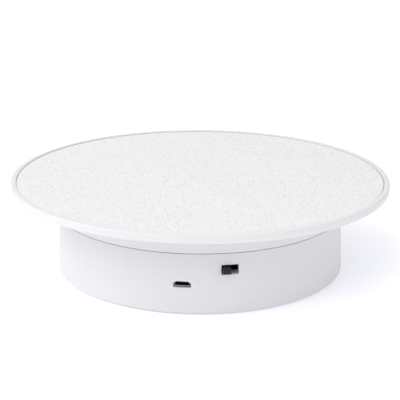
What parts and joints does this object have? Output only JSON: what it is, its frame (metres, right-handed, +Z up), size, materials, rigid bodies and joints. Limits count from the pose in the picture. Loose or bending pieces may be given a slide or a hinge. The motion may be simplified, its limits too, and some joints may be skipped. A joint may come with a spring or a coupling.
{
  "type": "turntable display stand",
  "caption": "Motorised turntable display stand: a round platter with a grained mat turns on a drum base with a power port, slide switch and battery box.",
  "frame": {"origin": "on the ground under the platter's axis", "axes": "+Z up along the platter's axis, -Y towards the side with the port and the switch"},
  "size_m": [0.2, 0.2, 0.049],
  "materials": {
    "white_shell": "satin moulded",
    "mat_skin": "fine pebbled grain",
    "gear_plastic": "natural acetal",
    "gearbox_plastic": "moulded",
    "black_plastic": "satin",
    "rubber": "matt",
    "board_green": "solder mask",
    "steel": "zinc plated",
    "brass": "turned",
    "nickel": "nickel plated",
    "red_sleeve": "wire insulation",
    "black_sleeve": "insulation sleeve"
  },
  "bodies": {
    "base": {"top_cover": "white_shell", "base_shell": "white_shell", "cover_screw_1": "steel", "cover_screw_2": "steel", "cover_screw_3": "steel", "cover_screw_4": "steel", "foot_pad_1": "rubber", "foot_pad_2": "rubber", "foot_pad_3": "rubber", "foot_pad_4": "rubber", "roller_pin_1": "steel", "roller_pin_2": "steel", "roller_pin_3": "steel", "roller_pin_4": "steel", "gear_pin_1": "steel", "gear_pin_2": "steel", "gear_pin_3": "steel", "gearbox_case": "gearbox_plastic", "gearbox_lid": "gearbox_plastic", "gearbox_screw_1": "steel", "gearbox_screw_2": "steel", "gearbox_screw_3": "steel", "motor_can": "steel", "motor_end_cap": "black_plastic", "contact_negative": "nickel", "contact_bridge_left": "nickel", "contact_bridge_right": "nickel", "contact_positive": "nickel", "circuit_board": "board_green", "usb_shell": "nickel", "usb_insert": "black_plastic", "driver_chip": "black_plastic", "capacitor": "black_sleeve", "board_screw_1": "steel", "board_screw_2": "steel", "switch_body": "black_plastic", "switch_screw_1": "steel", "switch_screw_2": "steel", "wire_motor_red": "red_sleeve", "wire_motor_black": "black_sleeve", "wire_battery_black": "black_sleeve", "wire_battery_red": "red_sleeve", "ribbon_switch": "black_sleeve"},
    "platter": {"platter_disc": "white_shell", "top_mat": "mat_skin", "platter_screw": "steel", "output_gear": "gear_plastic"},
    "gear_3_body": {"gear_3": "gear_plastic"},
    "gear_2_body": {"gear_2": "gear_plastic"},
    "gear_1_body": {"gear_1": "gear_plastic"},
    "motor_rotor": {"motor_pinion": "brass"},
    "roller_1_body": {"support_roller_1": "gear_plastic"},
    "roller_2_body": {"support_roller_2": "gear_plastic"},
    "roller_3_body": {"support_roller_3": "gear_plastic"},
    "roller_4_body": {"support_roller_4": "gear_plastic"},
    "switch_slider": {"switch_knob": "black_plastic"},
    "door": {"battery_door": "white_shell"}
  },
  "joints": [
    {"name": "platter_spin", "type": "hinge", "parent": "base", "child": "platter", "pos_m": [0, 0, 0.045], "axis": [0, 0, 1], "continuous": true},
    {"name": "gear_3_spin", "type": "hinge", "parent": "base", "child": "gear_3_body", "pos_m": [-0.01973, -0.00718, 0.03], "axis": [0, 0, 1], "continuous": true},
    {"name": "gear_2_spin", "type": "hinge", "parent": "base", "child": "gear_2_body", "pos_m": [-0.0152, -0.02409, 0.03], "axis": [0, 0, 1], "continuous": true},
    {"name": "gear_1_spin", "type": "hinge", "parent": "base", "child": "gear_1_body", "pos_m": [-0.03165, -0.03007, 0.03], "axis": [0, 0, 1], "continuous": true},
    {"name": "motor_spin", "type": "hinge", "parent": "base", "child": "motor_rotor", "pos_m": [-0.04247, -0.02382, 0.02], "axis": [0, 0, 1], "continuous": true},
    {"name": "roller_1_spin", "type": "hinge", "parent": "base", "child": "roller_1_body", "pos_m": [0.06, 0, 0.03845], "axis": [1, 0, 0], "continuous": true},
    {"name": "roller_2_spin", "type": "hinge", "parent": "base", "child": "roller_2_body", "pos_m": [0, 0.06, 0.03845], "axis": [0, 1, 0], "continuous": true},
    {"name": "roller_3_spin", "type": "hinge", "parent": "base", "child": "roller_3_body", "pos_m": [-0.06, 0, 0.03845], "axis": [-1, 0, 0], "continuous": true},
    {"name": "roller_4_spin", "type": "hinge", "parent": "base", "child": "roller_4_body", "pos_m": [0, -0.06, 0.03845], "axis": [0, -1, 0], "continuous": true},
    {"name": "switch_slide", "type": "slide", "parent": "base", "child": "switch_slider", "axis": [0.9799, 0.1994, 0], "range_m": [0, 0.0038]},
    {"name": "door_hinge", "type": "hinge", "parent": "base", "child": "door", "pos_m": [0, 0.04775, 0.0008], "axis": [1, 0, 0], "range_deg": [0, 75]}
  ],
  "couplings": [
    {"joint": "gear_3_spin", "follows": "platter_spin", "ratio": -5},
    {"joint": "gear_2_spin", "follows": "platter_spin", "ratio": 20},
    {"joint": "gear_1_spin", "follows": "platter_spin", "ratio": -80},
    {"joint": "motor_spin", "follows": "platter_spin", "ratio": 320},
    {"joint": "roller_1_spin", "follows": "platter_spin", "ratio": -10.909},
    {"joint": "roller_2_spin", "follows": "platter_spin", "ratio": -10.909},
    {"joint": "roller_3_spin", "follows": "platter_spin", "ratio": -10.909},
    {"joint": "roller_4_spin", "follows": "platter_spin", "ratio": -10.909}
  ]
}
